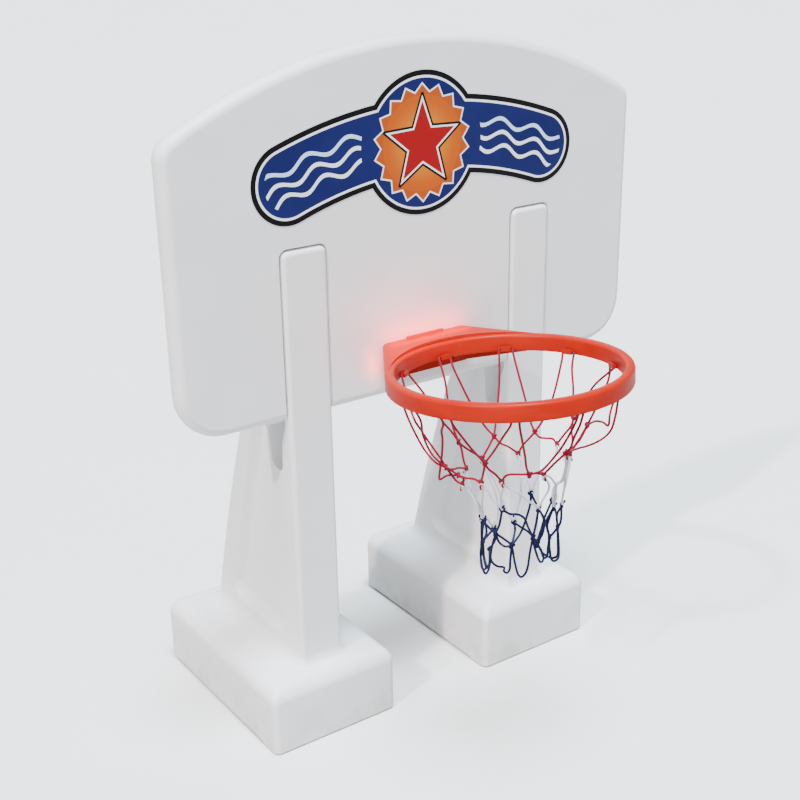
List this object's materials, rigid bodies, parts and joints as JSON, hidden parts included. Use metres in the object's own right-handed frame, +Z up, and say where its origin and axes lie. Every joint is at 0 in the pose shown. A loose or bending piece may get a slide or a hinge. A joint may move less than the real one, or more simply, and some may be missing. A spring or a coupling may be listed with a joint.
{
  "type": "pool basketball hoop",
  "caption": "Free-standing poolside basketball hoop: arched white backboard slotted into ballast legs, with an orange rim, net hooks and a knotted striped net.",
  "frame": {"origin": "on the ground below the middle of the whole object's bounding box", "axes": "+Z up; the board faces -Y and the rim reaches towards -Y; +X is to the right of someone who faces +Y"},
  "size_m": [1.118, 0.9542, 1.431],
  "materials": {
    "white_plastic": "satin rotomoulded",
    "orange_plastic": "satin moulded",
    "steel": "zinc plated",
    "brass": "turned",
    "rubber": "matt",
    "cap_plastic": "moulded",
    "sticker": "printed film",
    "red_cord": "braided cord",
    "white_cord": "braided cord",
    "blue_cord": "braided cord"
  },
  "bodies": {
    "stand": {"backboard": "white_plastic", "board_sticker": "sticker", "left_leg": "white_plastic", "right_leg": "white_plastic", "rim": "orange_plastic", "rim_backing_plate": "steel", "net_red": "red_cord", "net_white": "white_cord", "net_blue": "blue_cord", "leg_insert_1": "brass", "leg_washer_1": "steel", "leg_bolt_1": "steel", "leg_insert_2": "brass", "leg_washer_2": "steel", "leg_bolt_2": "steel", "leg_insert_3": "brass", "leg_washer_3": "steel", "leg_bolt_3": "steel", "leg_insert_4": "brass", "leg_washer_4": "steel", "leg_bolt_4": "steel", "rim_insert_1": "brass", "rim_washer_1": "steel", "rim_bolt_1": "steel", "rim_insert_2": "brass", "rim_washer_2": "steel", "rim_bolt_2": "steel", "rim_insert_3": "brass", "rim_washer_3": "steel", "rim_bolt_3": "steel", "rim_insert_4": "brass", "rim_washer_4": "steel", "rim_bolt_4": "steel"},
    "left_gasket": {"left_plug_gasket": "rubber"},
    "left_plug": {"left_fill_plug": "cap_plastic"},
    "right_gasket": {"right_plug_gasket": "rubber"},
    "right_plug": {"right_fill_plug": "cap_plastic"}
  },
  "joints": [
    {"name": "left_plug_travel", "type": "slide", "parent": "stand", "child": "left_gasket", "axis": [0, 0.9476, 0.3196], "range_m": [0, 0.0152]},
    {"name": "left_plug_spin", "type": "hinge", "parent": "left_gasket", "child": "left_plug", "pos_m": [-0.27905, 0.33748, 0.4], "axis": [0, 0.9476, 0.3196], "range_deg": [0, 1800]},
    {"name": "right_plug_travel", "type": "slide", "parent": "stand", "child": "right_gasket", "axis": [0, 0.9476, 0.3196], "range_m": [0, 0.0152]},
    {"name": "right_plug_spin", "type": "hinge", "parent": "right_gasket", "child": "right_plug", "pos_m": [0.27905, 0.33748, 0.4], "axis": [0, 0.9476, 0.3196], "range_deg": [0, 1800]}
  ],
  "couplings": [
    {"joint": "left_plug_travel", "follows": "left_plug_spin", "m_per_rad": 0.00047746},
    {"joint": "right_plug_travel", "follows": "right_plug_spin", "m_per_rad": 0.00047746}
  ]
}
